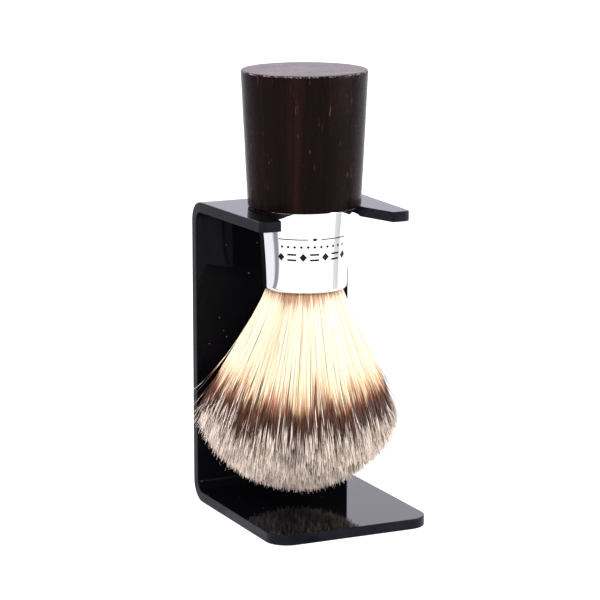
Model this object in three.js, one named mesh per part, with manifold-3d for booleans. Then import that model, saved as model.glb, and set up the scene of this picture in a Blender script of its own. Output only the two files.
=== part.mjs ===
// Shaving-brush stand with its brush. The stand is one strip of acrylic sheet, bent twice into
// a C: base, upright and an upper plate with an open slot. The brush hangs knot-down in the
// slot: its wooden handle rests on the plate and its ferrule passes through.
// Millimetres, +Z up, the open front towards -Y. The origin is on the table plane, in the
// middle of the footprint.
import * as THREE from 'three';
import { mergeVertices } from 'three/addons/utils/BufferGeometryUtils.js';
import Module from 'manifold-3d';

const wasm = await Module();
wasm.setup();

// Acrylic stand.
const SHEET = 3.0; // thickness of the sheet
const STAND_WIDTH = 49.5;
const STAND_HEIGHT = 90.0;
const BASE_DEPTH = 58.0;
const FORK_DEPTH = 45.0; // upper plate, from the upright's back face to the prong tips
const FORK_FRONT_WIDTH = 48.0; // the plate narrows a little towards the prong tips
const BEND_RADIUS = 6.0; // outer radius of both bends
const BASE_CORNER_RADIUS = 6.5;
const FORK_CORNER_RADIUS = 2.0;

// Slot in the upper plate: a round seat, a throat and a flared mouth.
const SEAT_RADIUS = 15.4;
const SEAT_Y = 3.4;
const THROAT_HALF_WIDTH = 14.1;
const MOUTH_HALF_WIDTH = 18.2;

// Brush, all turned about one upright axis.
const BRUSH_Y = 4.4;
const HANDLE_TOP_RADIUS = 18.3;
const HANDLE_BOTTOM_RADIUS = 16.3;
const HANDLE_HEIGHT = 39.2;
const FERRULE_TOP_RADIUS = 13.8;
const FERRULE_BOTTOM_RADIUS = 12.2;
const FERRULE_HEIGHT = 23.4;
const FERRULE_WALL = 0.9;
const WEB = 2.0; // floor between the ferrule's two sockets
const SPIGOT_RADIUS = 11.7;
const SPIGOT_LENGTH = 7.7;
const SCREW_SHANK_RADIUS = 2.1;
const SCREW_HEAD_RADIUS = 4.0;
const SCREW_HEAD_HEIGHT = 2.4;
const SCREW_LENGTH = 22.0;
const SCREW_PITCH = 1.8;
const PLUG_HEIGHT = 5.7;
const ROOT_RADIUS = 9.9; // bundle of fibre roots inside the ferrule
const BINDING_HEIGHT = 3.0;
const KNOT_RADIUS = 29.5;
const KNOT_TIP_Z = 5.9;

const GAP = 0.3; // between neighbouring pieces
const ARC_STEP = Math.PI / 12; // turn of one facet of a rounded corner
const ROUND_SIDES = 48;

// Levels and faces that several pieces share.
const BACK_Y = BASE_DEPTH / 2;
const FRONT_Y = -BASE_DEPTH / 2;
const FORK_FRONT_Y = BACK_Y - FORK_DEPTH;
const UPRIGHT_FRONT_Y = BACK_Y - SHEET;
const HANDLE_Z = STAND_HEIGHT + GAP;
const HANDLE_TOP_Z = HANDLE_Z + HANDLE_HEIGHT;
const FERRULE_TOP_Z = STAND_HEIGHT;
const FERRULE_Z = FERRULE_TOP_Z - FERRULE_HEIGHT;
const SPIGOT_Z = HANDLE_Z - SPIGOT_LENGTH;
const WEB_TOP_Z = SPIGOT_Z - GAP;
const WEB_Z = WEB_TOP_Z - WEB;
const SCREW_HEAD_TOP_Z = WEB_Z - GAP;
const SCREW_HEAD_Z = SCREW_HEAD_TOP_Z - SCREW_HEAD_HEIGHT;
const PLUG_TOP_Z = SCREW_HEAD_Z - GAP;
const PLUG_Z = PLUG_TOP_Z - PLUG_HEIGHT;
const ROOT_TOP_Z = PLUG_Z - GAP;
const SOCKET_RADIUS = FERRULE_BOTTOM_RADIUS - FERRULE_WALL;

// Outline through corners [x, y, radius], each rounded by an arc of its own radius.
function rounded(corners) {
  const outline = [];
  corners.forEach(([x, y, radius = 0], i) => {
    const corner = new THREE.Vector2(x, y);
    if (radius === 0) {
      outline.push(corner);
      return;
    }
    const before = corners.at(i - 1);
    const after = corners[(i + 1) % corners.length];
    const toBefore = new THREE.Vector2(before[0] - x, before[1] - y).normalize();
    const toAfter = new THREE.Vector2(after[0] - x, after[1] - y).normalize();
    const half = Math.acos(toBefore.dot(toAfter)) / 2;
    const middle = toBefore.clone().add(toAfter).normalize();
    const centre = corner.clone().addScaledVector(middle, radius / Math.sin(half));
    const start = corner.clone().addScaledVector(toBefore, radius / Math.tan(half)).sub(centre);
    const turn = (Math.PI - 2 * half) * Math.sign(toBefore.cross(toAfter)) * -1;
    const steps = Math.ceil(Math.abs(turn) / ARC_STEP);
    for (let k = 0; k <= steps; k += 1) {
      const point = start.clone().rotateAround(new THREE.Vector2(), (turn * k) / steps);
      outline.push(point.add(centre));
    }
  });
  return outline;
}

// The same surface with shared vertices and no collapsed triangles.
function welded(geometry) {
  const bare = geometry.clone();
  bare.deleteAttribute('normal');
  bare.deleteAttribute('uv');
  const merged = mergeVertices(bare, 1e-4);
  const index = merged.getIndex().array;
  const kept = [];
  for (let i = 0; i < index.length; i += 3) {
    const [a, b, c] = index.slice(i, i + 3);
    if (a !== b && b !== c && c !== a) kept.push(a, b, c);
  }
  merged.setIndex(kept);
  return merged;
}

function toSolid(geometry) {
  const merged = welded(geometry);
  return new wasm.Manifold(new wasm.Mesh({
    numProp: 3,
    vertProperties: new Float32Array(merged.getAttribute('position').array),
    triVerts: new Uint32Array(merged.getIndex().array),
  }));
}

function toGeometry(solid) {
  const mesh = solid.getMesh();
  const geometry = new THREE.BufferGeometry();
  geometry.setAttribute('position', new THREE.BufferAttribute(mesh.vertProperties, 3));
  geometry.setIndex(new THREE.BufferAttribute(mesh.triVerts, 1));
  geometry.computeVertexNormals();
  return geometry;
}

// Solid of revolution about +Z. The profile's corners are [radius, z, rounding], drawn from
// the bottom outwards and up.
function turned(corners, sides = ROUND_SIDES) {
  const profile = rounded(corners);
  const onAxis = corners[0][0] === 0;
  if (!onAxis) profile.push(profile[0].clone());
  const geometry = welded(new THREE.LatheGeometry(profile, sides));
  geometry.rotateX(Math.PI / 2);
  geometry.computeVertexNormals();
  return geometry;
}

// Plate of a plan outline, between two heights.
function plate(outline, bottom, top) {
  const shape = new THREE.Shape(outline);
  const geometry = new THREE.ExtrudeGeometry(shape, { depth: top - bottom, bevelEnabled: false });
  return geometry.translate(0, 0, bottom);
}

function named(name, geometry, color, roughness, metalness = 0) {
  const material = new THREE.MeshStandardMaterial({ color, roughness, metalness });
  const mesh = new THREE.Mesh(geometry, material);
  mesh.name = name;
  return mesh;
}

// Side view of the bent strip, one sheet thick all along, extruded wider than the stand.
function bentStrip() {
  const inner = BEND_RADIUS - SHEET;
  const profile = rounded([
    [FRONT_Y, 0],
    [BACK_Y, 0, BEND_RADIUS],
    [BACK_Y, STAND_HEIGHT, BEND_RADIUS],
    [FORK_FRONT_Y, STAND_HEIGHT],
    [FORK_FRONT_Y, STAND_HEIGHT - SHEET],
    [UPRIGHT_FRONT_Y, STAND_HEIGHT - SHEET, inner],
    [UPRIGHT_FRONT_Y, SHEET, inner],
    [FRONT_Y, SHEET],
  ]);
  const width = STAND_WIDTH + 2;
  const geometry = plate(profile, -width / 2, width / 2);
  const alongY = new THREE.Vector3(0, 1, 0);
  const alongZ = new THREE.Vector3(0, 0, 1);
  const alongX = new THREE.Vector3(1, 0, 0);
  return geometry.applyMatrix4(new THREE.Matrix4().makeBasis(alongY, alongZ, alongX));
}

// Plan outline of a plate with its front at frontY, open past the back of the stand.
function planOutline(frontY, frontWidth, cornerRadius) {
  const half = STAND_WIDTH / 2;
  const bendY = BACK_Y - BEND_RADIUS;
  return rounded([
    [-frontWidth / 2, frontY, cornerRadius],
    [frontWidth / 2, frontY, cornerRadius],
    [half, bendY],
    [half, BACK_Y + 1],
    [-half, BACK_Y + 1],
    [-half, bendY],
  ]);
}

// Plan of the slot: flared mouth, throat, and a round seat that a wider handle rests on.
function slotOutline() {
  const lean = Math.acos(THROAT_HALF_WIDTH / SEAT_RADIUS);
  const throatY = SEAT_Y - SEAT_RADIUS * Math.sin(lean);
  const flare = (MOUTH_HALF_WIDTH - THROAT_HALF_WIDTH) / (throatY - FORK_FRONT_Y);
  const past = 1; // the cutter runs past the prong tips
  const slot = new THREE.Shape();
  slot.moveTo(-MOUTH_HALF_WIDTH - flare * past, FORK_FRONT_Y - past);
  slot.lineTo(MOUTH_HALF_WIDTH + flare * past, FORK_FRONT_Y - past);
  slot.lineTo(THROAT_HALF_WIDTH, throatY);
  slot.absarc(0, SEAT_Y, SEAT_RADIUS, -lean, Math.PI + lean, false);
  slot.closePath();
  return slot.extractPoints(ROUND_SIDES).shape;
}

function makeStand() {
  const strip = toSolid(bentStrip());
  const middle = STAND_HEIGHT / 2;
  const basePlan = planOutline(FRONT_Y, STAND_WIDTH, BASE_CORNER_RADIUS);
  const forkPlan = planOutline(FORK_FRONT_Y, FORK_FRONT_WIDTH, FORK_CORNER_RADIUS);
  const lower = toSolid(plate(basePlan, -1, middle + 1));
  const upper = toSolid(plate(forkPlan, middle - 1, STAND_HEIGHT + 1));
  const slot = toSolid(plate(slotOutline(), STAND_HEIGHT - SHEET - 1, STAND_HEIGHT + 1));
  const stand = strip.intersect(lower.add(upper)).subtract(slot);
  return named('bent_acrylic_stand', toGeometry(stand), 0x0b0b0e, 0.06);
}

// Tapered wooden grip with a spigot for the ferrule and a blind hole for the screw.
function makeHandle() {
  const holeRadius = SCREW_SHANK_RADIUS + GAP;
  const holeTop = WEB_Z + SCREW_LENGTH + 2 * GAP;
  const geometry = turned([
    [0, holeTop],
    [holeRadius, holeTop],
    [holeRadius, SPIGOT_Z],
    [SPIGOT_RADIUS, SPIGOT_Z],
    [SPIGOT_RADIUS, HANDLE_Z],
    [HANDLE_BOTTOM_RADIUS, HANDLE_Z, 0.5],
    [HANDLE_TOP_RADIUS, HANDLE_TOP_Z, 1.0],
    [0, HANDLE_TOP_Z],
  ]);
  return named('wood_handle', geometry, 0x3b2118, 0.45);
}

// Thin metal cup with two sockets: the handle's spigot above the web, the knot below it.
function makeFerrule() {
  const upperRadius = SPIGOT_RADIUS + GAP;
  const holeRadius = SCREW_SHANK_RADIUS + GAP;
  const flare = FERRULE_TOP_RADIUS - FERRULE_BOTTOM_RADIUS;
  const rings = 5;
  const outside = [];
  for (let k = 1; k <= rings; k += 1) {
    const s = k / rings;
    outside.push([FERRULE_BOTTOM_RADIUS + flare * s ** 1.5, FERRULE_Z + FERRULE_HEIGHT * s]);
  }
  const geometry = turned([
    [holeRadius, WEB_Z],
    [SOCKET_RADIUS, WEB_Z],
    [SOCKET_RADIUS, FERRULE_Z],
    [FERRULE_BOTTOM_RADIUS, FERRULE_Z, 0.5],
    ...outside,
    [upperRadius, FERRULE_TOP_Z],
    [upperRadius, WEB_TOP_Z],
    [holeRadius, WEB_TOP_Z],
  ]);
  return named('chrome_ferrule', geometry, 0xdedfe4, 0.05, 1);
}

// Pan-head wood screw that draws the ferrule up against the handle.
function makeScrew() {
  const core = SCREW_SHANK_RADIUS - 0.5;
  const tipZ = WEB_Z + SCREW_LENGTH;
  const threadZ = SPIGOT_Z + 1;
  const turns = Math.floor((tipZ - 4 - threadZ) / SCREW_PITCH);
  const thread = [];
  for (let k = 0; k < turns; k += 1) {
    const z = threadZ + SCREW_PITCH * k;
    thread.push([core, z], [SCREW_SHANK_RADIUS, z + SCREW_PITCH / 2]);
  }
  const geometry = turned([
    [0, SCREW_HEAD_Z],
    [SCREW_HEAD_RADIUS, SCREW_HEAD_Z, 1.2],
    [SCREW_HEAD_RADIUS, SCREW_HEAD_TOP_Z],
    [SCREW_SHANK_RADIUS, SCREW_HEAD_TOP_Z],
    [SCREW_SHANK_RADIUS, threadZ - 0.6],
    ...thread,
    [core, threadZ + SCREW_PITCH * turns],
    [0, tipZ],
  ], 16);
  return named('ferrule_screw', geometry, 0xa9a9ad, 0.35, 1);
}

// Set resin that holds the fibre roots and is glued into the ferrule's lower socket.
function makePlug() {
  const radius = SOCKET_RADIUS - GAP;
  const geometry = turned([
    [0, PLUG_Z],
    [radius, PLUG_Z],
    [radius, PLUG_TOP_Z, 1.0],
    [0, PLUG_TOP_Z],
  ], 32);
  return named('knot_resin_plug', geometry, 0xb9a272, 0.5);
}

// Wound thread around the fibre roots, just under the resin plug.
function makeBinding() {
  const inner = ROOT_RADIUS + GAP;
  const outer = SOCKET_RADIUS - GAP;
  const geometry = turned([
    [inner, ROOT_TOP_Z - BINDING_HEIGHT],
    [outer, ROOT_TOP_Z - BINDING_HEIGHT],
    [outer, ROOT_TOP_Z],
    [inner, ROOT_TOP_Z],
  ], 32);
  return named('knot_binding', geometry, 0xd8d0c0, 0.9);
}

// The fibre knot: straight roots, a flared fan and a domed tip, pressed flat by the upright.
function makeKnot() {
  const fan = new THREE.SplineCurve([
    new THREE.Vector2(0, KNOT_TIP_Z),
    new THREE.Vector2(KNOT_RADIUS * 0.52, KNOT_TIP_Z + 2.4),
    new THREE.Vector2(KNOT_RADIUS * 0.86, KNOT_TIP_Z + 11.6),
    new THREE.Vector2(KNOT_RADIUS, KNOT_TIP_Z + 23.0),
    new THREE.Vector2(KNOT_RADIUS * 0.87, KNOT_TIP_Z + 31.7),
    new THREE.Vector2(KNOT_RADIUS * 0.58, KNOT_TIP_Z + 46.0),
    new THREE.Vector2(SOCKET_RADIUS - GAP, FERRULE_Z - 1.4),
  ]);
  const corners = fan.getPoints(18).map((point) => [Math.max(point.x, 0), point.y]);
  corners.push([ROOT_RADIUS, FERRULE_Z + 0.4], [ROOT_RADIUS, ROOT_TOP_Z], [0, ROOT_TOP_Z]);
  const room = new THREE.BoxGeometry(200, 200, 200);
  room.translate(0, UPRIGHT_FRONT_Y - 2 * GAP - BRUSH_Y - 100, 0);
  const knot = toSolid(turned(corners)).intersect(toSolid(room));
  return named('fibre_knot', toGeometry(knot), 0xd9c7ae, 0.85);
}

const brush = new THREE.Group();
brush.position.set(0, BRUSH_Y, 0);
brush.add(makeHandle(), makeFerrule(), makeScrew(), makePlug(), makeBinding(), makeKnot());

const brushStand = new THREE.Group();
brushStand.add(makeStand(), brush);

export default brushStand;
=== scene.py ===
"""Shaving-brush stand with its brush: looks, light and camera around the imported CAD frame."""

import math

import bmesh
import bpy
import numpy as np
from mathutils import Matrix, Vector, kdtree, noise


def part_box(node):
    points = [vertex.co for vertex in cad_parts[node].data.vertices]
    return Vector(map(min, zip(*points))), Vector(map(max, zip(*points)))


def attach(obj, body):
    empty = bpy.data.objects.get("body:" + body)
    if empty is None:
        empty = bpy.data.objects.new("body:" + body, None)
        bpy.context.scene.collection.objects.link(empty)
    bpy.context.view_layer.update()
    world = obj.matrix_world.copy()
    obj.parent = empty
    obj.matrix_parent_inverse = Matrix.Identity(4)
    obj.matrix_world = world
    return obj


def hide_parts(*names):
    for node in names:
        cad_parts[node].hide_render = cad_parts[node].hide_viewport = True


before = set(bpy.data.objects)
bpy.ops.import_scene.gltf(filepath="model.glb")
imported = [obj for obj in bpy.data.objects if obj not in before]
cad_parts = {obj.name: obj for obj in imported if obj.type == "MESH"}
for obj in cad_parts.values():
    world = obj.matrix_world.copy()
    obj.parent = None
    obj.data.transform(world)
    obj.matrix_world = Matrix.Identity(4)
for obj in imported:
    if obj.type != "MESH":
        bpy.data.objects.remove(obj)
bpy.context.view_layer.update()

MM = 0.001

# --------------------------------------------------------------------------------------
# Driving sizes, in metres. Places come from the CAD nodes' boxes.
# --------------------------------------------------------------------------------------
STAND_LOW, STAND_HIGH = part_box("bent_acrylic_stand")
HANDLE_LOW, HANDLE_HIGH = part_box("wood_handle")
FERRULE_LOW, FERRULE_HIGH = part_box("chrome_ferrule")
KNOT_LOW, KNOT_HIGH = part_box("fibre_knot")

GAP = 0.3 * MM  # between pieces that rest on or in each other
SHEET = 3.0 * MM  # thickness of the acrylic
BEND_RADIUS = 6.0 * MM  # outside of both bends
EDGE_BREAK = 0.22 * MM  # bevel along the sheet's cut edges
BASE_CORNER = 6.5 * MM
FORK_DEPTH = 45.0 * MM
FORK_FRONT_RIGHT = 24.0 * MM  # half widths at the prong tips: the cut isn't quite even
FORK_FRONT_LEFT = 22.9 * MM
FORK_CORNER = 2.0 * MM
SEAT_RADIUS = 15.4 * MM  # round end of the slot
SEAT_Y = 3.4 * MM
THROAT_HALF = 14.1 * MM  # half widths of the slot at its narrowest and at its mouth
MOUTH_RIGHT = 18.2 * MM
MOUTH_LEFT = 16.7 * MM
MOUTH_CORNER = 0.5 * MM

AXIS = Vector(((FERRULE_LOW.x + FERRULE_HIGH.x) / 2, (FERRULE_LOW.y + FERRULE_HIGH.y) / 2, 0))
FORK_TOP = STAND_HIGH.z
HANDLE_Z = FORK_TOP + GAP  # the handle's shoulder, just over the plate
SPIGOT_Z = HANDLE_LOW.z
SPIGOT_RADIUS = 11.7 * MM
HANDLE_TOP_RADIUS = (HANDLE_HIGH.x - HANDLE_LOW.x) / 2
HANDLE_BOTTOM_RADIUS = 16.3 * MM
HANDLE_TOP_ROUND = 0.6 * MM
HANDLE_BOTTOM_ROUND = 0.45 * MM
SCREW_HOLE_RADIUS = 2.4 * MM
SCREW_HOLE_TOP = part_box("ferrule_screw")[1].z + 0.6 * MM  # past the screw's end
FERRULE_TOP_RADIUS = (FERRULE_HIGH.x - FERRULE_LOW.x) / 2
FERRULE_BOTTOM_RADIUS = 12.2 * MM
FERRULE_FLARE = 1.5  # power of the height by which the cup widens upwards
FERRULE_WALL = 0.9 * MM
WEB = 2.0 * MM  # between the ferrule's two sockets


def srgb(red, green, blue):
    """A display colour from 0 to 255 as the linear values that sockets hold."""
    linear = []
    for value in (red, green, blue):
        v = value / 255
        linear.append(v / 12.92 if v <= 0.04045 else ((v + 0.055) / 1.055) ** 2.4)
    return (*linear, 1.0)


# --------------------------------------------------------------------------------------
# Materials
# --------------------------------------------------------------------------------------
class Nodes:
    """Short calls that add nodes to a tree and wire them up."""

    def __init__(self, tree):
        self.tree = tree

    def add(self, kind, inputs=(), **settings):
        """A node with its settings, and its inputs set or linked by name or number."""
        node = self.tree.nodes.new("ShaderNode" + kind)
        for name, value in settings.items():
            setattr(node, name, value)
        for name, value in dict(inputs).items():
            self.feed(node.inputs[name], value)
        return node

    def feed(self, socket, value):
        if isinstance(value, bpy.types.NodeSocket):
            self.tree.links.new(value, socket)
        else:
            socket.default_value = value

    def place(self, scale=(1, 1, 1)):
        """Position in the shared frame in millimetres, stretched by scale."""
        where = self.add("TexCoord").outputs["Object"]
        per_mm = tuple(s / MM for s in scale)
        return self.add("Mapping", {"Vector": where, "Scale": per_mm}).outputs["Vector"]

    def noise(self, where, scale, detail=2.0, rough=0.5, warp=0.0):
        """Fractal noise, mostly from 0.3 to 0.7. scale is in features to a millimetre."""
        inputs = {"Vector": where, "Scale": scale, "Detail": detail}
        inputs |= {"Roughness": rough, "Distortion": warp}
        return self.add("TexNoise", inputs).outputs["Fac"]

    def math(self, operation, first, second=0.0, third=0.0, clamp=False):
        inputs = {0: first, 1: second, 2: third}
        return self.add("Math", inputs, operation=operation, use_clamp=clamp).outputs[0]

    def span(self, value, low, high, to_low=0.0, to_high=1.0):
        """value from low to high, as to_low to to_high, held at the ends."""
        inputs = {"Value": value, "From Min": low, "From Max": high}
        inputs |= {"To Min": to_low, "To Max": to_high}
        return self.add("MapRange", inputs).outputs["Result"]

    def ramp(self, value, stops):
        node = self.add("ValToRGB", {"Fac": value})
        elements = node.color_ramp.elements
        while len(elements) < len(stops):
            elements.new(1.0)
        for element, (position, color) in zip(elements, stops):
            element.position = position
            element.color = color
        return node.outputs["Color"]

    def mix(self, amount, first, second):
        """Two colours mixed. The numbers are those of the Mix node's colour sockets."""
        node = self.add("Mix", {0: amount, 6: first, 7: second}, data_type="RGBA")
        return node.outputs[2]

    def bump(self, height, depth, strength=1.0):
        inputs = {"Height": height, "Distance": depth, "Strength": strength}
        return self.add("Bump", inputs).outputs["Normal"]

    def window(self, value, low, high, soft):
        """1 from low to high, easing to 0 over soft at both ends."""
        rise = self.span(value, low, low + soft)
        return self.math("MULTIPLY", rise, self.span(value, high - soft, high, 1.0, 0.0))


class Finish(Nodes):
    """A Principled material."""

    def __init__(self, name, **values):
        self.material = bpy.data.materials.new(name)
        self.material.use_nodes = True
        super().__init__(self.material.node_tree)
        self.surface = self.tree.nodes["Principled BSDF"]
        for socket, value in values.items():
            self.surface.inputs[socket.replace("_", " ")].default_value = value

    def drive(self, **sockets):
        for name, value in sockets.items():
            self.feed(self.surface.inputs[name.replace("_", " ")], value)


def acrylic_face():
    """Polished black sheet with a little settled dust and faint, broad smears."""
    specks_per_mm = 0.32
    largest_speck = 0.085  # radius, as a part of the distance between two specks
    finish = Finish("black_acrylic", IOR=1.15)
    where = finish.place()
    specks = finish.add("TexVoronoi", {"Vector": where, "Scale": specks_per_mm, "Randomness": 1.0})
    size = finish.math("MULTIPLY", finish.noise(where, 0.9), largest_speck)
    dust = finish.math("LESS_THAN", specks.outputs["Distance"], size)
    haze = finish.noise(where, 0.06, detail=4.0, rough=0.6)
    color = finish.mix(dust, srgb(6, 6, 9), srgb(104, 102, 108))
    gloss = finish.span(haze, 0.3, 0.75, 0.02, 0.055)
    finish.drive(Base_Color=color, Roughness=finish.math("MAXIMUM", gloss, dust))
    return finish.material


def acrylic_edge():
    """Cut and lightly polished edge: satin, with fine upright lines."""
    finish = Finish("black_acrylic_edge", IOR=1.17)
    upright = (3.0, 3.0, 0.25)
    lines = finish.noise(finish.place(upright), 1.6, detail=3.0)
    patches = finish.noise(finish.place(), 0.22, detail=3.0)
    color = finish.mix(patches, srgb(4, 5, 9), srgb(14, 16, 24))
    finish.drive(Base_Color=color, Roughness=finish.span(patches, 0.3, 0.7, 0.24, 0.42))
    finish.drive(Normal=finish.bump(lines, 0.05 * MM, 0.35))
    return finish.material


def painted_rim_glints(finish):
    """Up to 1 on painted highlight patches, light glints along the rim, within 0.6 mm of the
    handle's top, and 0 elsewhere.
    """
    top = HANDLE_HIGH.z / MM
    height = finish.add("SeparateXYZ", {0: finish.place()}).outputs["Z"]
    glint_patches = finish.span(finish.noise(finish.place(), 1.7, detail=3.0), 0.5, 0.62)
    return finish.math("MULTIPLY", glint_patches, finish.window(height, top - 0.6, top + 0.5, 0.2))


def wood(name, end_grain):
    """Dark open-pored wood with golden flecks: grain along Z, and streaks across the top, whose
    greyish mauve is painted far lighter than the side's as a painted reflection of the pale
    backdrop.
    """
    finish = Finish(name, IOR=1.22 if end_grain else 1.11, Specular_Tint=(1.0, 0.74, 0.7, 1.0))
    if end_grain:
        # painted reflection: the top's light greyish mauve stands in for the pale backdrop seen at
        # a grazing angle, over the wood's own grain
        dark, mid, light = srgb(38, 26, 26), srgb(72, 56, 57), srgb(124, 106, 106)
        stretch = (0.1, 1.3, 1.0)
        broad_scale = 0.3
        smoothest, roughest = 0.3, 0.5
    else:
        dark, mid, light = srgb(8, 5, 5), srgb(14, 8, 7), srgb(29, 14, 11)
        stretch = (1.0, 1.0, 0.055)
        broad_scale = 0.16
        smoothest, roughest = 0.14, 0.26
    grain = finish.place(stretch)
    broad = finish.noise(grain, broad_scale, detail=3.0, warp=0.4)
    bands = finish.noise(finish.place((1.6, 0.35, 0.03)), 0.8, detail=4.0, rough=0.65)
    fine = finish.noise(grain, 3.2, detail=4.0, rough=0.7)
    pores = finish.span(finish.noise(grain, 5.5, detail=2.0), 0.56, 0.68)
    color = finish.ramp(broad, [(0.32, dark), (0.52, mid), (0.74, light)])
    color = finish.mix(finish.span(bands, 0.42, 0.62, 0.0, 0.55), color, dark)
    if end_grain:
        color = finish.mix(finish.span(fine, 0.5, 0.72, 0.0, 0.8), color, light)
    else:
        color = finish.mix(finish.span(fine, 0.5, 0.75, 0.0, 0.45), color, mid)
    patch = finish.span(finish.noise(finish.place((1.0, 1.0, 0.3)), 0.32), 0.55, 0.72)
    fleck = finish.span(finish.noise(finish.place((1.0, 1.0, 0.16)), 1.7), 0.63, 0.73)
    golden = finish.math("MULTIPLY", finish.math("MULTIPLY", fleck, patch), 0.85)
    color = finish.mix(golden, color, srgb(104, 66, 38))
    color = finish.mix(finish.math("MULTIPLY", pores, 0.6), color, dark)
    if not end_grain:
        # painted highlight: light greyish glints on patches along the side's top rim
        color = finish.mix(painted_rim_glints(finish), color, srgb(128, 116, 118))
    relief = finish.math("SUBTRACT", finish.math("MULTIPLY", fine, 0.4), pores)
    finish.drive(Base_Color=color, Roughness=finish.span(fine, 0.3, 0.7, smoothest, roughest))
    finish.drive(Normal=finish.bump(relief, 0.06 * MM, 0.5))
    return finish.material


def chrome():
    """Polished plate with faint polishing lines around it and a little haze."""
    finish = Finish("ferrule_chrome", Metallic=1.0)
    lines = finish.noise(finish.place((0.05, 0.05, 4.0)), 1.4, detail=4.0, rough=0.7)
    haze = finish.noise(finish.place(), 0.12, detail=3.0)
    finish.drive(Base_Color=finish.mix(haze, srgb(236, 236, 241), srgb(248, 247, 248)))
    finish.drive(Roughness=finish.span(haze, 0.3, 0.75, 0.012, 0.04))
    finish.drive(Normal=finish.bump(lines, 0.004 * MM, 0.2))
    return finish.material


def ink():
    finish = Finish("printed_ink", IOR=1.2)
    wear = finish.noise(finish.place(), 5.0, detail=3.0)
    finish.drive(Base_Color=finish.mix(wear, srgb(5, 5, 7), srgb(14, 14, 18)))
    finish.drive(Roughness=finish.span(wear, 0.3, 0.7, 0.35, 0.55))
    return finish.material


# Lengths along a fibre are in millimetres from its tip.
FIBRE_MAP_LENGTH = 70.0  # for the whole height of a fibre's UV map
SHADES = 64  # kinds of fibre, one column of the UV map each
UV_NAME = "OFBake"
DARK_TO_TIP = 0.32  # part of the kinds whose band starts at the tip
BAND_START = 2.4  # earliest start of the dark band on most others
BAND_START_SPREAD = 4.2  # from the earliest start to the latest
BAND_END = 11.4  # mean end of the band, but for a fifth of the kinds
BAND_END_SPREAD = 1.7  # either way
LONGEST_STRAY_BAND = 10.0  # the most that a band in that fifth runs on
CREAM_END = 43.5  # where the tan painted shadow at the roots, under the ferrule's lip, is fullest


def fibre():
    """Cream fibre with a dark band near the tip, amber above it, and a tan painted shadow at the
    root under the ferrule's lip, in many kinds.

    Each column of the UV map is one kind, which draws its own numbers from 0 to 1.
    """
    finish = Finish("knot_fibre", Roughness=0.42, IOR=1.5)
    along = finish.add("SeparateXYZ", {0: finish.add("UVMap", uv_map=UV_NAME).outputs[0]})
    distance = finish.math("MULTIPLY", along.outputs["Y"], FIBRE_MAP_LENGTH)
    column = finish.math("FLOOR", finish.math("MULTIPLY", along.outputs["X"], SHADES))
    chance = finish.add("TexWhiteNoise", {"W": column}, noise_dimensions="1D")
    kinds = finish.add("SeparateColor", {0: chance.outputs["Color"]})
    starting, straying, ending = (kinds.outputs[name] for name in ("Red", "Green", "Blue"))
    tinting = chance.outputs["Value"]

    clear = DARK_TO_TIP + 0.1  # from here up, a kind has the whole of BAND_START
    later = finish.span(starting, clear, 1.0, 0.0, BAND_START_SPREAD)
    start = finish.span(starting, DARK_TO_TIP, clear, 0.1, BAND_START)
    start = finish.math("ADD", start, later)
    stray = finish.span(straying, 0.8, 1.0, 0.0, LONGEST_STRAY_BAND)
    end = finish.span(ending, 0.0, 1.0, BAND_END - BAND_END_SPREAD, BAND_END + BAND_END_SPREAD)
    end = finish.math("ADD", end, stray)
    into = finish.math("SUBTRACT", distance, start)
    beyond = finish.math("SUBTRACT", distance, end)

    tip = finish.ramp(tinting, [(0.0, srgb(244, 219, 201)), (1.0, srgb(255, 240, 226))])
    band_shades = [(0.0, srgb(32, 22, 21)), (1.0, srgb(82, 38, 18))]
    band = finish.ramp(finish.span(into, 0.0, 6.0), band_shades)
    cream_shades = [
        (0.0, srgb(246, 222, 184)),
        (0.25, srgb(252, 237, 208)),
        (0.86, srgb(252, 238, 212)),
        # painted shadow: darkening from here to tan at the roots, where the ferrule's lip shades
        # the fibres
        (0.94, srgb(246, 226, 198)),
        (1.0, srgb(196, 152, 118)),
    ]
    cream = finish.ramp(finish.span(distance, BAND_END, CREAM_END), cream_shades)

    reach = finish.span(tinting, 0.0, 1.0, 1.5, 9.0)
    glow = finish.math("SUBTRACT", 1.0, finish.math("DIVIDE", beyond, reach), clamp=True)
    amber = finish.math("MULTIPLY", glow, finish.span(straying, 0.1, 0.4, 0.2, 1.0))
    cream = finish.mix(amber, cream, srgb(172, 82, 28))

    dyed = finish.span(tinting, 0.88, 0.93, 1.0, 0.12)  # a few kinds hardly have the band
    banded = finish.math("MULTIPLY", finish.span(into, -1.0, 1.2), dyed)
    color = finish.mix(banded, tip, band)
    color = finish.mix(finish.span(beyond, -1.0, 1.4), color, cream)
    finish.drive(Base_Color=color)
    return finish.material


def plain(name, shades, scale, roughness, **values):
    """A simple patterned finish for a piece that stays out of sight."""
    finish = Finish(name, **values)
    pattern = finish.noise(finish.place(), scale, detail=3.0)
    finish.drive(Base_Color=finish.mix(pattern, *shades))
    finish.drive(Roughness=finish.span(pattern, 0.3, 0.7, *roughness))
    finish.drive(Normal=finish.bump(pattern, 0.05 * MM, 0.3))
    return finish.material


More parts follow.
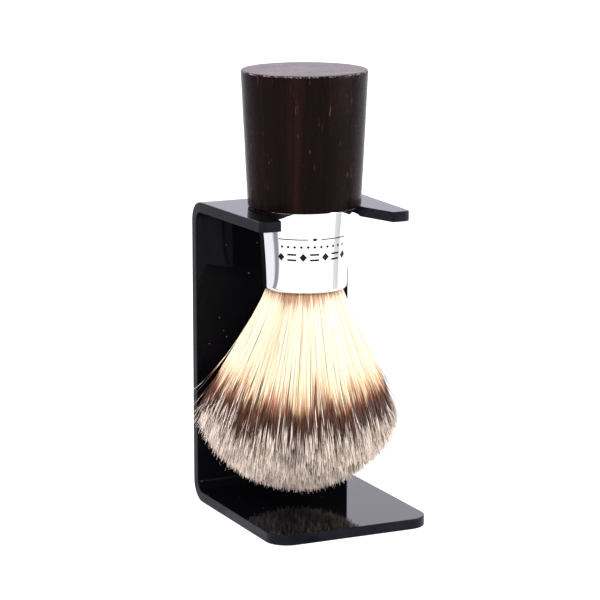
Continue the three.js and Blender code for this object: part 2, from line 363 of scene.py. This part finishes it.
# --------------------------------------------------------------------------------------
# Mesh helpers
# --------------------------------------------------------------------------------------
def rounded(corners, step=math.radians(5)):
    """Outline through corners (x, y, radius), each rounded by an arc of its own radius."""
    outline = []
    for i, (x, y, radius) in enumerate(corners):
        corner = Vector((x, y))
        if radius == 0:
            outline.append(corner)
            continue
        to_before = (Vector(corners[i - 1][:2]) - corner).normalized()
        to_after = (Vector(corners[(i + 1) % len(corners)][:2]) - corner).normalized()
        half = to_before.angle(to_after) / 2
        centre = corner + (to_before + to_after).normalized() * radius / math.sin(half)
        start = corner + to_before * radius / math.tan(half) - centre
        end = corner + to_after * radius / math.tan(half) - centre
        turn = start.angle(end)
        side = math.copysign(1, start.x * end.y - start.y * end.x)
        steps = max(2, math.ceil(turn / step))
        for k in range(steps + 1):
            angle = side * turn * k / steps
            cos, sin = math.cos(angle), math.sin(angle)
            turned_x = start.x * cos - start.y * sin
            turned_y = start.x * sin + start.y * cos
            outline.append(centre + Vector((turned_x, turned_y)))
    return outline


def piece(name, mesh, body, slot, *replaced):
    """A new object that rides on a body and stands for the CAD nodes named last."""
    obj = bpy.data.objects.new(name, mesh)
    bpy.context.scene.collection.objects.link(obj)
    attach(obj, body)
    if replaced:
        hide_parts(*replaced)
    return obj


def turned(name, corners, sides=192, step=math.radians(5), shape=None):
    """Solid of revolution about the brush's axis.

    corners are (radius, z, rounding). They start and end on the axis, or close on
    themselves. shape may move a point, given with its direction out and its corner.
    """
    on_axis = 1e-7
    bm = bmesh.new()
    rings = []
    for corner in rounded(corners, step):
        if corner.x < on_axis:
            rings.append([bm.verts.new((AXIS.x, AXIS.y, corner.y))])
            continue
        ring = []
        for i in range(sides):
            angle = 2 * math.pi * i / sides
            out = Vector((math.cos(angle), math.sin(angle), 0))
            point = AXIS + out * corner.x + Vector((0, 0, corner.y))
            if shape:
                point = shape(point, out, corner)
            ring.append(bm.verts.new(point))
        rings.append(ring)
    closed = len(rings[0]) > 1
    following = rings[1:] + rings[:1] if closed else rings[1:]
    for low, high in zip(rings, following):
        for i in range(sides):
            j = (i + 1) % sides
            quad = [low[i % len(low)], low[j % len(low)]]
            quad += [high[j % len(high)], high[i % len(high)]]
            bm.faces.new(list(dict.fromkeys(quad)))
    bmesh.ops.recalc_face_normals(bm, faces=bm.faces)
    mesh = bpy.data.meshes.new(name)
    bm.to_mesh(mesh)
    bm.free()
    mesh.shade_smooth()
    mesh.set_sharp_from_angle(angle=math.radians(32))
    return mesh


# --------------------------------------------------------------------------------------
# The acrylic stand: cut flat, edges broken, then bent like the real strip
# --------------------------------------------------------------------------------------
BEND_Y = STAND_HIGH.y - BEND_RADIUS  # where the base and the fork start to bend
UPRIGHT_FLAT = FORK_TOP - 2 * BEND_RADIUS

# Lengths along the flat strip, from the base's front edge
BEND_LENGTH = (BEND_RADIUS - SHEET / 2) * math.pi / 2
FIRST_BEND = BEND_Y - STAND_LOW.y
UPRIGHT_START = FIRST_BEND + BEND_LENGTH
SECOND_BEND = UPRIGHT_START + UPRIGHT_FLAT
FORK_START = SECOND_BEND + BEND_LENGTH
STRIP_END = FORK_START + FORK_DEPTH - BEND_RADIUS


def strip_outline():
    """The flat strip: x across, y along it from the base's front edge to the prong tips."""
    half = (STAND_HIGH.x - STAND_LOW.x) / 2
    lean = math.acos(THROAT_HALF / SEAT_RADIUS)
    seat = FORK_START + BEND_Y - SEAT_Y
    throat = seat + SEAT_RADIUS * math.sin(lean)
    corners = [
        (half, 0, BASE_CORNER),
        (half, FORK_START, 0),
        (FORK_FRONT_RIGHT, STRIP_END, FORK_CORNER),
        (MOUTH_RIGHT, STRIP_END, MOUTH_CORNER),
        (THROAT_HALF, throat, 0),
    ]
    steps = 72
    for k in range(1, steps):
        angle = lean - (math.pi + 2 * lean) * k / steps
        corners.append((SEAT_RADIUS * math.cos(angle), seat + SEAT_RADIUS * math.sin(angle), 0))
    corners += [
        (-THROAT_HALF, throat, 0),
        (-MOUTH_LEFT, STRIP_END, MOUTH_CORNER),
        (-FORK_FRONT_LEFT, STRIP_END, FORK_CORNER),
        (-half, FORK_START, 0),
        (-half, 0, BASE_CORNER),
    ]
    return rounded(corners)


def bent(x, along, depth):
    """Where a point of the flat strip goes. depth counts from the face outside the bends."""
    if along <= FIRST_BEND:
        return Vector((x, STAND_LOW.y + along, depth))
    if along < UPRIGHT_START:
        turn = (along - FIRST_BEND) / BEND_LENGTH * math.pi / 2
        radius = BEND_RADIUS - depth
        return Vector((x, BEND_Y + radius * math.sin(turn), BEND_RADIUS - radius * math.cos(turn)))
    if along <= SECOND_BEND:
        return Vector((x, STAND_HIGH.y - depth, BEND_RADIUS + along - UPRIGHT_START))
    if along < FORK_START:
        turn = (along - SECOND_BEND) / BEND_LENGTH * math.pi / 2
        radius = BEND_RADIUS - depth
        top = FORK_TOP - BEND_RADIUS
        return Vector((x, BEND_Y + radius * math.cos(turn), top + radius * math.sin(turn)))
    return Vector((x, BEND_Y - (along - FORK_START), FORK_TOP - depth))


def bend_cuts():
    """Where the flat strip is cut into rows, so that it can bend smoothly."""
    margin = 0.4 * MM
    steps = 16
    cuts = []
    for start in (FIRST_BEND, SECOND_BEND):
        cuts += [start - margin, start + BEND_LENGTH + margin]
        cuts += [start + BEND_LENGTH * k / steps for k in range(steps + 1)]
    return cuts


def make_stand():
    facing = 0.9  # a normal's part along Z from which a face counts as one of the flat sides
    bm = bmesh.new()
    bm.faces.new([bm.verts.new((p.x, p.y, 0)) for p in strip_outline()])
    for cut in bend_cuts():
        geom = bm.verts[:] + bm.edges[:] + bm.faces[:]
        bmesh.ops.bisect_plane(bm, geom=geom, plane_co=(0, cut, 0), plane_no=(0, 1, 0))
    sheet = bmesh.ops.extrude_face_region(bm, geom=bm.faces[:])
    moved = [v for v in sheet["geom"] if isinstance(v, bmesh.types.BMVert)]
    bmesh.ops.translate(bm, verts=moved, vec=(0, 0, SHEET))
    bmesh.ops.recalc_face_normals(bm, faces=bm.faces)
    rims = []
    for edge in bm.edges:
        flat = [abs(f.normal.z) > facing for f in edge.link_faces]
        if len(flat) == 2 and flat[0] != flat[1]:
            rims.append(edge)
    bmesh.ops.bevel(bm, geom=rims, offset=EDGE_BREAK, segments=2, profile=0.5, affect="EDGES")
    for f in bm.faces:
        f.material_index = 0 if abs(f.normal.z) > facing else 1
    for v in bm.verts:
        v.co = bent(*v.co)
    bmesh.ops.recalc_face_normals(bm, faces=bm.faces)
    mesh = bpy.data.meshes.new("acrylic_stand")
    bm.to_mesh(mesh)
    bm.free()
    mesh.shade_smooth()
    mesh.set_sharp_from_angle(angle=math.radians(20))
    mesh.materials.append(acrylic_face())
    mesh.materials.append(acrylic_edge())
    return piece("acrylic_stand", mesh, "stand", "black_acrylic", "bent_acrylic_stand")


# --------------------------------------------------------------------------------------
# Handle and ferrule
# --------------------------------------------------------------------------------------
CHIP_SIZE = 1.1 * MM  # along the edges, and how far the chips reach from them
CHIP_DEPTH = 0.45 * MM
SWELL_HEIGHT = 14 * MM
SWELL_DEPTH = 0.06 * MM


def chipped(point, out, corner):
    """The handle's side, slightly uneven, with small chips along its top and bottom edges."""
    if corner.x < HANDLE_BOTTOM_RADIUS * 0.85:
        return point
    from_edge = min(HANDLE_HIGH.z - corner.y, abs(corner.y - HANDLE_Z))
    grit = noise.noise(point / CHIP_SIZE)
    chips = max(0.0, grit - 0.15) * max(0.0, 1 - from_edge / CHIP_SIZE)
    swell = noise.noise(Vector((out.x, out.y, corner.y / SWELL_HEIGHT))) * SWELL_DEPTH
    return point - out * (chips * CHIP_DEPTH - swell)


def make_handle():
    side = []
    steps = 26
    for k in range(1, steps):
        part = k / steps
        z = HANDLE_Z + (HANDLE_HIGH.z - HANDLE_Z) * part
        radius = HANDLE_BOTTOM_RADIUS + (HANDLE_TOP_RADIUS - HANDLE_BOTTOM_RADIUS) * part
        side.append((radius, z, 0))
    flat_top = [(HANDLE_TOP_RADIUS * part, HANDLE_HIGH.z, 0) for part in (0.93, 0.8, 0.6, 0.4, 0.2)]
    corners = [
        (0, SCREW_HOLE_TOP, 0),
        (SCREW_HOLE_RADIUS, SCREW_HOLE_TOP, 0),
        (SCREW_HOLE_RADIUS, SPIGOT_Z, 0),
        (SPIGOT_RADIUS, SPIGOT_Z, 0),
        (SPIGOT_RADIUS, HANDLE_Z, 0),
        (HANDLE_BOTTOM_RADIUS - 1.2 * MM, HANDLE_Z, 0),
        (HANDLE_BOTTOM_RADIUS, HANDLE_Z, HANDLE_BOTTOM_ROUND),
        *side,
        (HANDLE_TOP_RADIUS, HANDLE_HIGH.z, HANDLE_TOP_ROUND),
        *flat_top,
        (0, HANDLE_HIGH.z, 0),
    ]
    mesh = turned("wooden_handle", corners, step=math.radians(15), shape=chipped)
    mesh.materials.append(wood("dark_wood", end_grain=False))
    mesh.materials.append(wood("dark_wood_end_grain_painted_reflection", end_grain=True))
    for polygon in mesh.polygons:
        polygon.material_index = int(polygon.normal.z > 0.8)
    return piece("wooden_handle", mesh, "brush", "dark_wood", "wood_handle")


def ferrule_radius(z):
    """Outer radius of the flared cup at a height."""
    part = (z - FERRULE_LOW.z) / (FERRULE_HIGH.z - FERRULE_LOW.z)
    flare = FERRULE_TOP_RADIUS - FERRULE_BOTTOM_RADIUS
    return FERRULE_BOTTOM_RADIUS + flare * part**FERRULE_FLARE


def make_ferrule():
    hole = SCREW_HOLE_RADIUS
    handle_socket = SPIGOT_RADIUS + GAP
    knot_socket = FERRULE_BOTTOM_RADIUS - FERRULE_WALL
    web_top = SPIGOT_Z - GAP
    steps = 24
    side = []
    for k in range(1, steps):
        z = FERRULE_LOW.z + (FERRULE_HIGH.z - FERRULE_LOW.z) * k / steps
        side.append((ferrule_radius(z), z, 0))
    corners = [
        (hole, web_top - WEB, 0),
        (knot_socket, web_top - WEB, 0),
        (knot_socket, FERRULE_LOW.z, 0.15 * MM),
        (FERRULE_BOTTOM_RADIUS, FERRULE_LOW.z, 0.6 * MM),
        *side,
        (FERRULE_TOP_RADIUS, FERRULE_HIGH.z, 0.2 * MM),
        (handle_socket, FERRULE_HIGH.z, 0),
        (handle_socket, web_top, 0),
        (hole, web_top, 0),
    ]
    mesh = turned("chrome_cup", corners, step=math.radians(12))
    mesh.materials.append(chrome())
    return piece("chrome_cup", mesh, "brush", "ferrule_chrome", "chrome_ferrule")


# --------------------------------------------------------------------------------------
# Printed ornament on the ferrule: rules, lozenges and dots
# --------------------------------------------------------------------------------------
PRINT_AZIMUTH = math.radians(-12)
PRINT_THICKNESS = 0.03 * MM
PRINT_GAP = 0.005 * MM  # over the chrome
LOZENGES_Z = FERRULE_LOW.z + 10.6 * MM
DOTS_Z = LOZENGES_Z + 3.0 * MM
RULE_Z = DOTS_Z + 2.2 * MM


def box_outline(u, v, width, height):
    left, right = u - width / 2, u + width / 2
    low, high = v - height / 2, v + height / 2
    return [(left, low), (right, low), (right, high), (left, high)]


def lozenge_outline(u, v, width, height):
    return [(u - width / 2, v), (u, v - height / 2), (u + width / 2, v), (u, v + height / 2)]


def print_outlines():
    """Shapes of the ornament: u along the print, in metres, and v its height."""
    pitch = 3.3 * MM
    bar_rise = 0.8 * MM
    dot_pitch = 1.9 * MM
    dot = 0.95 * MM
    rule_middle = 6.2 * MM
    rule_length = 8.6 * MM
    shapes = []
    for k in range(-3, 4):
        u = pitch * k
        if k % 2:
            shapes.append(lozenge_outline(u, LOZENGES_Z, 2.2 * MM, 2.4 * MM))
            continue
        for rise in (bar_rise, -bar_rise):
            shapes.append(box_outline(u, LOZENGES_Z + rise, 2.7 * MM, 0.55 * MM))
    for k in range(-5, 6):
        shapes.append(lozenge_outline(dot_pitch * k, DOTS_Z, dot, dot))
    shapes.append(lozenge_outline(0, RULE_Z, 1.7 * MM, 1.0 * MM))
    for side in (-1, 1):
        shapes.append(box_outline(side * rule_middle, RULE_Z, rule_length, 0.3 * MM))
    return shapes


def make_print():
    """The flat shapes, cut into narrow strips, thickened and wrapped round the ferrule."""
    strip = 0.8 * MM
    strips = 14  # each way from the middle, past the ends of the rules
    bm = bmesh.new()
    for outline in print_outlines():
        bm.faces.new([bm.verts.new((u, v, 0)) for u, v in outline])
    for k in range(-strips, strips + 1):
        geom = bm.verts[:] + bm.edges[:] + bm.faces[:]
        bmesh.ops.bisect_plane(bm, geom=geom, plane_co=(k * strip, 0, 0), plane_no=(1, 0, 0))
    solid = bmesh.ops.extrude_face_region(bm, geom=bm.faces[:])
    moved = [v for v in solid["geom"] if isinstance(v, bmesh.types.BMVert)]
    bmesh.ops.translate(bm, verts=moved, vec=(0, 0, PRINT_THICKNESS))
    for v in bm.verts:
        u, height, depth = v.co
        angle = PRINT_AZIMUTH + u / ferrule_radius(LOZENGES_Z)
        radius = ferrule_radius(height) + PRINT_GAP + depth
        v.co = AXIS + Vector((math.sin(angle) * radius, -math.cos(angle) * radius, height))
    bmesh.ops.recalc_face_normals(bm, faces=bm.faces)
    mesh = bpy.data.meshes.new("ferrule_ornament")
    bm.to_mesh(mesh)
    bm.free()
    mesh.materials.append(ink())
    piece("ferrule_ornament", mesh, "brush", "ferrule_chrome")


# --------------------------------------------------------------------------------------
# The knot
# --------------------------------------------------------------------------------------
KNOT_RADIUS = 29.0 * MM
KNOT_LEAN = Vector((-2.0 * MM, 0, 0))  # the fan sits a little to one side
ROOT_Z = FERRULE_LOW.z + 1.7 * MM
ROOT_RADIUS = 10.2 * MM
NECK_Z = 57.0 * MM  # height and spread of each fibre's second control point
NECK_RADIUS = 13.5 * MM
TIP_Z = KNOT_LOW.z + 0.8 * MM  # the lowest tips, in the middle
RIM_Z = 27.5 * MM  # the outermost tips
DOME_POWER = 0.65
TIP_LEAD = 11 * MM  # height over the tip of the third control point of the outermost fibres
TIP_LEAD_MIDDLE = 6 * MM  # and how much more in the middle
TIP_FLARE = 2.8 * MM  # how far the outermost fibres still spread from there to the tip
FRONT = Vector((-0.34, -0.94, 0))  # the fibres hang a little lower on this side
FRONT_DROP = 2.8 * MM
FRONT_WIDTH = 3  # power that keeps the lower part narrow
BACK_LIMIT = KNOT_HIGH.y  # the upright stops the fibres here
BACK_SOFTNESS = 1.6 * MM
FIBRES = 30000
FIBRE_RINGS = 8
ROOT_CROWDING = 0.42  # power that moves the roots outwards, below the even 0.5
SECTORS = 9
BUNDLES = 7000  # of neighbouring fibres that lean together and mostly share a colouring
ODD_FIBRES = 0.15  # part of the fibres whose colouring isn't their bundle's
BUNDLE_TRIM = 1.2 * MM  # mean length by which a bundle is cut short
OWN_TRIM = 0.5 * MM  # mean lengths by which a fibre is shorter and longer than its bundle
OWN_EXTRA = 0.25 * MM
LEAD_DRIFT = 0.15  # part of the tip's move towards its bundle that its third point makes
OUTERMOST = 0.9  # fraction of the bundle's radius from which a fibre may stand out
STRAY_FIBRES = 0.05  # part of those that do


def knot_path(out, fraction):
    """Control points of a fibre whose root is at that fraction of the bundle's radius."""
    dome = max(0.0, 1 - fraction**2) ** DOME_POWER
    rim = RIM_Z - FRONT_DROP * max(0.0, out.dot(FRONT)) ** FRONT_WIDTH
    tip = rim - (rim - TIP_Z) * dome
    spread = out * fraction
    end = spread * KNOT_RADIUS + KNOT_LEAN + Vector((0, 0, tip))
    lead = Vector((0, 0, TIP_LEAD + TIP_LEAD_MIDDLE * (1 - fraction))) - spread * TIP_FLARE
    points = [
        spread * ROOT_RADIUS + Vector((0, 0, ROOT_Z)),
        spread * NECK_RADIUS + Vector((0, 0, NECK_Z)),
        end + lead,
        end,
    ]
    return [AXIS + p for p in points]


def pressed(point):
    """Fibres that would reach past the upright bunch up just in front of it."""
    over = point.y - (BACK_LIMIT - BACK_SOFTNESS)
    if over <= 0:
        return point
    held = BACK_LIMIT - BACK_SOFTNESS + BACK_SOFTNESS * (1 - math.exp(-over / BACK_SOFTNESS))
    return Vector((point.x, held, point.z))


def bezier(points, t):
    """Point of a cubic curve, with t from 0 at its start to 1 at its end."""
    start, second, third, end = points
    s = 1 - t
    return start * s**3 + second * (3 * s * s * t) + third * (3 * s * t * t) + end * t**3


def scatter(rng, spread):
    """A random sideways step."""
    return Vector((rng.normal(0, spread), rng.normal(0, spread), 0))


def spot(rng):
    """A root's place: its angle, its direction out, and its fraction of the bundle's radius."""
    angle = rng.uniform(0, 2 * math.pi)
    out = Vector((math.cos(angle), math.sin(angle), 0))
    return angle, out, rng.uniform(0, 1) ** ROOT_CROWDING


def stray_step(rng, out):
    """How far the tip of a fibre that stands out is from its place in the bundle."""
    return out * rng.uniform(0.5, 4.4) * MM + Vector((0, 0, rng.uniform(-1, 6) * MM))


def fibre_routes(rng):
    """Each fibre's angle round the brush, its kind, and its points from root to tip."""
    tree = kdtree.KDTree(BUNDLES)
    for i in range(BUNDLES):
        _, out, fraction = spot(rng)
        tree.insert(out * fraction, i)
    tree.balance()
    bundle_kinds = rng.integers(SHADES, size=BUNDLES)
    bundle_trims = rng.exponential(BUNDLE_TRIM, size=BUNDLES)
    routes = []
    for _ in range(FIBRES):
        angle, out, fraction = spot(rng)
        centre, bundle, _ = tree.find(out * fraction)
        kind = int(bundle_kinds[bundle])
        if rng.uniform() < ODD_FIBRES:
            kind = int(rng.integers(SHADES))
        path = knot_path(out, fraction)
        drift = (centre - out * fraction) * KNOT_RADIUS * rng.uniform(0.2, 0.9)
        path[2] += drift * LEAD_DRIFT
        path[3] += drift
        path[1] += scatter(rng, 0.3 * MM) * fraction
        path[2] += scatter(rng, 0.4 * MM) * fraction
        path[3] += scatter(rng, 0.5 * MM)
        back = (path[2] - path[3]).normalized()
        trim = bundle_trims[bundle] + rng.exponential(OWN_TRIM) - rng.exponential(OWN_EXTRA)
        path[3] += back * trim
        if fraction > OUTERMOST and rng.uniform() < STRAY_FIBRES:
            path[3] += stray_step(rng, out)
        steps = [bezier(path, k / (FIBRE_RINGS - 1)) for k in range(FIBRE_RINGS)]
        routes.append((angle, kind, [pressed(p) for p in steps]))
    return routes


def fibre_radius(t):
    """Radius along a fibre: thin root, full belly, fine tip."""
    root = 0.05  # in millimetres, as is what the belly adds
    belly = 0.035
    belly_from = 0.55
    taper_from = 0.75
    tapered = 0.6  # part of the radius that is gone at the tip
    swelling = root + belly * min(1.0, t / belly_from)
    return swelling * MM * (1 - max(0.0, t - taper_from) / (1 - taper_from) * tapered)


def fibre_mesh(name, routes, rng, material):
    """One mesh of many three-sided fibres, each closed at its root and tip."""
    sides = 3
    margin = 0.06  # of a column of the map, left free on both sides
    cap = 0.002  # height of the end faces in the map
    verts = []
    faces = []
    uvs = []
    for kind, route in routes:
        first = len(verts)
        twist = rng.uniform(0, 2 * math.pi)
        scale = rng.uniform(0.85, 1.15)
        left = (kind + margin) / SHADES
        right = (kind + 1 - margin) / SHADES
        reach = [0.0]
        for a, b in zip(route[::-1], route[-2::-1]):
            reach.append(reach[-1] + (b - a).length)
        heights = [r / (FIBRE_MAP_LENGTH * MM) for r in reach[::-1]]
        across = Vector((math.cos(twist), math.sin(twist), 0))
        for k, point in enumerate(route):
            ahead = route[min(k + 1, len(route) - 1)] - route[max(k - 1, 0)]
            ahead.normalize()
            square = (across - ahead * across.dot(ahead)).normalized()
            third = ahead.cross(square)
            radius = fibre_radius(k / (len(route) - 1)) * scale
            for i in range(sides):
                turn = 2 * math.pi * i / sides
                out = square * math.cos(turn) + third * math.sin(turn)
                verts.append(point + out * radius)
        for k in range(len(route) - 1):
            for i in range(sides):
                j = (i + 1) % sides
                low = first + k * sides
                high = low + sides
                faces.append((low + i, low + j, high + j, high + i))
                uvs += [(left, heights[k]), (right, heights[k])]
                uvs += [(right, heights[k + 1]), (left, heights[k + 1])]
        last = first + (len(route) - 1) * sides
        faces.append((first + 2, first + 1, first))
        uvs += [(left, heights[0]), (right, heights[0]), (right, heights[0] - cap)]
        faces.append((last, last + 1, last + 2))
        uvs += [(left, 0.0), (right, 0.0), (right, cap)]
    mesh = bpy.data.meshes.new(name)
    mesh.from_pydata(verts, [], faces)
    layer = mesh.uv_layers.new(name=UV_NAME)
    layer.data.foreach_set("uv", np.array(uvs, np.float32).ravel())
    mesh.shade_smooth()
    mesh.materials.append(material)
    return mesh


def make_knot():
    """All the fibres, as one piece for each sector of the bundle."""
    rng = np.random.default_rng(7)
    routes = fibre_routes(rng)
    material = fibre()
    for sector in range(SECTORS):
        low = 2 * math.pi * sector / SECTORS
        high = 2 * math.pi * (sector + 1) / SECTORS
        mine = [(kind, route) for angle, kind, route in routes if low <= angle < high]
        name = f"fibre_tuft_{sector + 1}"
        mesh = fibre_mesh(name, mine, rng, material)
        piece(name, mesh, "brush", "knot_fibre", "fibre_knot")


# --------------------------------------------------------------------------------------
# Camera, floor and light
# --------------------------------------------------------------------------------------
CAMERA_AZIMUTH = math.radians(-25.27)
CAMERA_ELEVATION = math.radians(11.58)
CAMERA_DISTANCE = 771.8 * MM
CAMERA_TARGET = Vector((-3.0, 1.0, 63.3)) * MM
CAMERA_LENS = 160.9
CAMERA_SENSOR = 36.0
FLOOR_RADIUS = 6.0
FLOOR_Z = -0.15 * MM  # just under the base, so that the two faces stay apart
LAMP_TARGET = Vector((0, 0, 55 * MM))


def make_camera():
    level = math.cos(CAMERA_ELEVATION)
    across, ahead = math.sin(CAMERA_AZIMUTH) * level, math.cos(CAMERA_AZIMUTH) * level
    back = Vector((across, -ahead, math.sin(CAMERA_ELEVATION)))
    data = bpy.data.cameras.new("camera")
    data.lens = CAMERA_LENS
    data.sensor_width = CAMERA_SENSOR
    data.clip_start = 0.01
    data.clip_end = 20.0
    camera = bpy.data.objects.new("camera", data)
    bpy.context.scene.collection.objects.link(camera)
    camera.rotation_mode = "QUATERNION"
    camera.location = CAMERA_TARGET + back * CAMERA_DISTANCE
    camera.rotation_quaternion = (-back).to_track_quat("-Z", "Y")
    bpy.context.scene.camera = camera


def make_floor():
    """A pale table that runs out of sight into the white background."""
    bm = bmesh.new()
    bmesh.ops.create_circle(bm, cap_ends=True, radius=FLOOR_RADIUS, segments=96)
    mesh = bpy.data.meshes.new("table")
    bm.to_mesh(mesh)
    bm.free()
    floor = bpy.data.objects.new("table", mesh)
    floor.location.z = FLOOR_Z
    bpy.context.scene.collection.objects.link(floor)
    mesh.materials.append(table_finish())


def table_finish():
    """White to the camera. Other rays also see soft grey shapes, laid out round the brush.

    A shape lies between two angles, in degrees from the front towards the right, and some
    also between two distances from the brush's axis, in millimetres.
    """
    finish = Finish("table", Base_Color=(0.12, 0.12, 0.12, 1.0), Roughness=0.8)
    where = finish.add("SeparateXYZ", {0: finish.add("TexCoord").outputs["Object"]})
    across = finish.math("MULTIPLY", where.outputs["X"], 1 / MM)
    forward = finish.math("MULTIPLY_ADD", where.outputs["Y"], -1 / MM, AXIS.y / MM)
    turn = finish.math("MULTIPLY", finish.math("ARCTAN2", across, forward), math.degrees(1))
    flat = finish.add("CombineXYZ", {0: across, 1: forward})
    away = finish.add("VectorMath", {0: flat.outputs[0]}, operation="LENGTH").outputs["Value"]

    slant_per_mm = 0.36
    slant_start = -97.0
    slant = finish.math("MULTIPLY_ADD", away, slant_per_mm, slant_start)
    slanted = finish.window(finish.math("ADD", turn, slant), -112, -94, 5)
    behind = finish.window(turn, -172, -100, 6)
    distant = finish.span(away, 262, 270)
    distant = finish.math("MULTIPLY", finish.window(turn, 52, 80, 6), distant)
    broad = finish.window(away, 196, 252, 10)
    broad = finish.math("MULTIPLY", finish.window(turn, 60, 98, 12), broad)
    narrow = finish.window(away, 200, 262, 8)
    narrow = finish.math("MULTIPLY", finish.window(turn, 37, 46, 3), narrow)

    dim = 0.0
    shapes = [(0.4, behind), (1.0, slanted), (0.75, distant), (0.85, broad), (0.4, narrow)]
    for amount, shape in shapes:
        dim = finish.math("MAXIMUM", dim, finish.math("MULTIPLY", shape, amount))
    seen = finish.add("LightPath").outputs["Is Camera Ray"]
    dim = finish.math("MULTIPLY", dim, finish.math("SUBTRACT", 1.0, seen))
    finish.surface.inputs["Emission Color"].default_value = (0.97, 0.97, 1.0, 1.0)
    finish.drive(Emission_Strength=finish.span(dim, 0.0, 1.0, 1.2, 0.0))
    return finish.material


def make_world():
    """White to the camera. Other rays see it brighter behind the object and to its right."""
    world = bpy.data.worlds.new("studio")
    world.use_nodes = True
    sky = Nodes(world.node_tree)
    background = sky.tree.nodes["Background"]
    where = sky.add("SeparateXYZ", {0: sky.add("TexCoord").outputs["Generated"]})
    height = where.outputs["Z"]
    behind = sky.span(where.outputs["Y"], 0.0, 0.4)
    glow = sky.span(height, 0.165, 0.29, 1.75, 2.7)
    glow = sky.math("MULTIPLY", glow, sky.span(height, 0.4, 0.8, 1.0, 0.45))
    front = sky.span(height, 0.1, 0.5, 1.25, 0.9)
    front = sky.math("ADD", front, sky.span(where.outputs["X"], 0.2, 0.9, 0.0, 0.6))
    light = sky.span(behind, 0.0, 1.0, front, glow)
    seen = sky.add("LightPath").outputs["Is Camera Ray"]
    sky.feed(background.inputs["Strength"], sky.span(seen, 0.0, 1.0, light, 1.1))
    tint = sky.mix(behind, (1.0, 0.985, 0.97, 1.0), (0.9, 0.88, 1.0, 1.0))
    tint = sky.mix(seen, tint, (1.0, 1.0, 1.0, 1.0))
    sky.feed(background.inputs["Color"], tint)
    bpy.context.scene.world = world


def softbox(name, place, size, power, mirrored=True):
    """A lamp that may be left out of reflections. Place and size in metres, power in watts."""
    data = bpy.data.lights.new(name, "AREA")
    data.shape = "RECTANGLE"
    data.size, data.size_y = size
    data.energy = power
    lamp = bpy.data.objects.new(name, data)
    bpy.context.scene.collection.objects.link(lamp)
    lamp.location = place
    aim = LAMP_TARGET - Vector(place)
    lamp.rotation_mode = "QUATERNION"
    lamp.rotation_quaternion = aim.to_track_quat("-Z", "Y")
    lamp.visible_glossy = mirrored


def make_lamps():
    """A large lamp at the upper left and a low one on each side."""
    softbox("key", (-0.55, -0.55, 0.75), (0.6, 0.6), 7.2)
    softbox("fill", (0.7, -0.5, 0.14), (0.5, 0.25), 8.0)
    softbox("side", (-0.75, -0.3, 0.1), (0.5, 0.25), 4.5, mirrored=False)


def hidden_finishes():
    """Finishes for the CAD nodes that stay, all inside the ferrule and the handle."""
    steel = (srgb(150, 150, 152), srgb(186, 186, 190))
    resin = (srgb(176, 150, 98), srgb(206, 182, 130))
    thread = (srgb(206, 198, 180), srgb(226, 220, 206))
    finishes = {
        "ferrule_screw": plain("screw_steel", steel, 2.0, (0.28, 0.42), Metallic=1.0),
        "knot_resin_plug": plain("plug_resin", resin, 0.6, (0.3, 0.5)),
        "knot_binding": plain("binding_thread", thread, 3.0, (0.8, 0.95)),
    }
    for node, material in finishes.items():
        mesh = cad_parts[node].data
        mesh.materials.clear()
        mesh.materials.append(material)


make_camera()
make_floor()
make_world()
make_lamps()
make_stand()
make_handle()
make_ferrule()
make_print()
make_knot()
hidden_finishes()
bpy.context.scene.view_settings.view_transform = "Standard"
